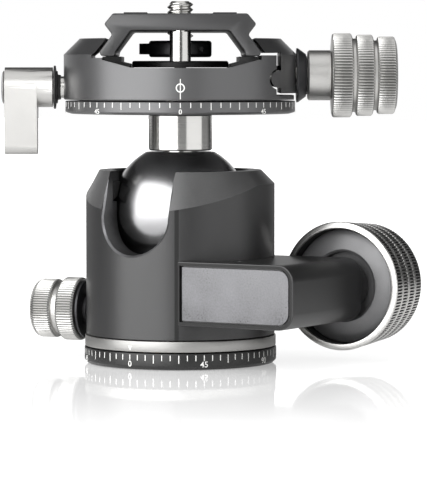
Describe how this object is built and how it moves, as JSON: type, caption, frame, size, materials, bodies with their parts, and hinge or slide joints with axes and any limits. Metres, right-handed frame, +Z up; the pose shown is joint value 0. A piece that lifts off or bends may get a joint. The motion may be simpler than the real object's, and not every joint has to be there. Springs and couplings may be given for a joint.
{
  "type": "ball head",
  "caption": "Tripod ball head: slotted cup with locking ball, side-arm lock knob, panning base and panning quick-release clamp with a dovetail plate.",
  "frame": {"origin": "centre of the tripod socket at the foot of the base, on the pan axis", "axes": "+Z up along the pan axis, -Y out through the drop slot, +X out along the lock arm; the clamp is turned 31 degrees about Z"},
  "size_m": [0.0908, 0.0688, 0.088],
  "materials": {
    "black_anodised": "satin charcoal-black anodising",
    "dark_anodised": "dark satin anodising",
    "scale_black": "black anodising with white graduations",
    "satin_silver": "satin silver anodising",
    "bright_steel": "bright machined steel",
    "grey_inlay": "grey fine-textured paint",
    "black_chrome": "polished black",
    "pale_nylon": "pale nylon",
    "black_plastic": "matt black",
    "bronze": "machined bronze",
    "black_rubber": "matt black rubber"
  },
  "bodies": {
    "base": {"base_ring": "scale_black", "thread_insert": "bright_steel", "thrust_washer": "bronze", "pan_retainer": "bright_steel", "retainer_screw_1": "bright_steel", "retainer_screw_2": "bright_steel", "retainer_screw_3": "bright_steel"},
    "housing": {"housing": "black_anodised", "index_ring": "satin_silver", "bottom_plug": "dark_anodised", "inlay_plate": "grey_inlay", "arm_set_screw": "dark_anodised", "upper_seat": "pale_nylon"},
    "lower_seat": {"lower_seat": "pale_nylon"},
    "push_pin": {"push_pin": "bright_steel"},
    "lock_knob": {"lock_knob": "satin_silver", "lock_knob_liner": "dark_anodised", "lock_knob_cap": "dark_anodised", "lock_spindle": "bright_steel"},
    "pan_lock_knob": {"pan_lock_knob": "satin_silver", "pan_lock_collar": "dark_anodised", "pan_lock_screw": "bright_steel"},
    "pan_brake_pad": {"pan_brake_pad": "bronze"},
    "cross_pin": {"ball_cross_pin": "bright_steel"},
    "ball": {"ball": "black_chrome"},
    "stem": {"stem": "satin_silver", "pan_disc": "scale_black", "pan_hub": "bronze", "retaining_cap": "black_plastic", "cap_screw": "bright_steel"},
    "clamp": {"clamp_body": "black_anodised", "wear_strip_left": "black_plastic", "wear_strip_right": "black_plastic", "guide_rod_front": "bright_steel", "guide_rod_back": "bright_steel"},
    "jaw": {"jaw": "black_anodised"},
    "jaw_knob": {"jaw_knob": "satin_silver", "jaw_collar": "satin_silver", "jaw_flange": "dark_anodised", "jaw_screw": "bright_steel"},
    "pan_lever": {"pan_lever": "satin_silver", "lever_cap": "satin_silver", "lever_washer": "black_plastic", "lever_spindle": "bright_steel"},
    "clamp_brake_pad": {"clamp_brake_pad": "bronze"},
    "plate": {"plate": "black_anodised", "plate_pad_left": "black_rubber", "plate_pad_right": "black_rubber", "stop_pin_front": "bright_steel", "stop_pin_back": "bright_steel"},
    "screw_clip": {"screw_clip": "black_plastic"},
    "camera_screw": {"camera_screw": "dark_anodised", "bail_pin": "bright_steel"},
    "screw_bail": {"screw_bail": "dark_anodised"}
  },
  "joints": [
    {"name": "housing_pan", "type": "hinge", "parent": "base", "child": "housing", "pos_m": [0, 0, 0.0039], "axis": [0, 0, 1], "continuous": true},
    {"name": "lock_knob_turn", "type": "hinge", "parent": "housing", "child": "lock_knob", "pos_m": [0.036, 0, 0.0188], "axis": [0, 1, 0], "range_deg": [0, 180]},
    {"name": "push_pin_slide", "type": "slide", "parent": "housing", "child": "push_pin", "axis": [1, 0, 0], "range_m": [0, 0.0006]},
    {"name": "lower_seat_drop", "type": "slide", "parent": "housing", "child": "lower_seat", "axis": [0, 0, -1], "range_m": [0, 0.0002]},
    {"name": "pan_lock_turn", "type": "hinge", "parent": "housing", "child": "pan_lock_knob", "pos_m": [0, 0, 0.0122], "axis": [-0.9848, -0.1736, 0], "range_deg": [0, 270]},
    {"name": "pan_brake_slide", "type": "slide", "parent": "housing", "child": "pan_brake_pad", "axis": [-0.9848, -0.1736, 0], "range_m": [0, 0.0002]},
    {"name": "ball_side_tilt", "type": "hinge", "parent": "housing", "child": "cross_pin", "pos_m": [0, 0, 0.0366], "axis": [0, 1, 0], "range_deg": [-23, 23]},
    {"name": "ball_front_tilt", "type": "hinge", "parent": "cross_pin", "child": "ball", "pos_m": [0, 0, 0.0366], "axis": [1, 0, 0], "range_deg": [-23, 90]},
    {"name": "ball_turn", "type": "hinge", "parent": "ball", "child": "stem", "pos_m": [0, 0, 0.0366], "axis": [0, 0, 1], "continuous": true},
    {"name": "clamp_pan", "type": "hinge", "parent": "stem", "child": "clamp", "pos_m": [0, 0, 0.064], "axis": [0, 0, 1], "continuous": true},
    {"name": "jaw_knob_turn", "type": "hinge", "parent": "jaw", "child": "jaw_knob", "pos_m": [0, 0, 0.07], "axis": [0.8572, 0.515, 0], "range_deg": [0, 1800]},
    {"name": "jaw_slide", "type": "slide", "parent": "clamp", "child": "jaw", "axis": [0.8572, 0.515, 0], "range_m": [0, 0.005]},
    {"name": "pan_lever_turn", "type": "hinge", "parent": "clamp", "child": "pan_lever", "pos_m": [0, 0, 0.0671], "axis": [0.8572, 0.515, 0], "range_deg": [0, 100]},
    {"name": "clamp_brake_slide", "type": "slide", "parent": "clamp", "child": "clamp_brake_pad", "axis": [-0.8572, -0.515, 0], "range_m": [0, 0.0002]},
    {"name": "plate_slide", "type": "slide", "parent": "clamp", "child": "plate", "axis": [-0.515, 0.8572, 0], "range_m": [-0.0104, 0.0104]},
    {"name": "camera_screw_lift", "type": "slide", "parent": "plate", "child": "screw_clip", "axis": [0, 0, 1], "range_m": [0, 0.0019]},
    {"name": "camera_screw_turn", "type": "hinge", "parent": "screw_clip", "child": "camera_screw", "pos_m": [0, 0, 0.08], "axis": [0, 0, 1], "continuous": true},
    {"name": "bail_fold", "type": "hinge", "parent": "camera_screw", "child": "screw_bail", "pos_m": [0.00429, 0.00258, 0.0764], "axis": [0.515, -0.8572, 0], "range_deg": [0, 4]}
  ],
  "couplings": [
    {"joint": "push_pin_slide", "follows": "lock_knob_turn", "m_per_rad": 0.00019099},
    {"joint": "lower_seat_drop", "follows": "lock_knob_turn", "m_per_rad": 0.000063662},
    {"joint": "pan_brake_slide", "follows": "pan_lock_turn", "m_per_rad": 0.000042441},
    {"joint": "jaw_slide", "follows": "jaw_knob_turn", "m_per_rad": 0.00015915},
    {"joint": "clamp_brake_slide", "follows": "pan_lever_turn", "m_per_rad": 0.00011459}
  ]
}
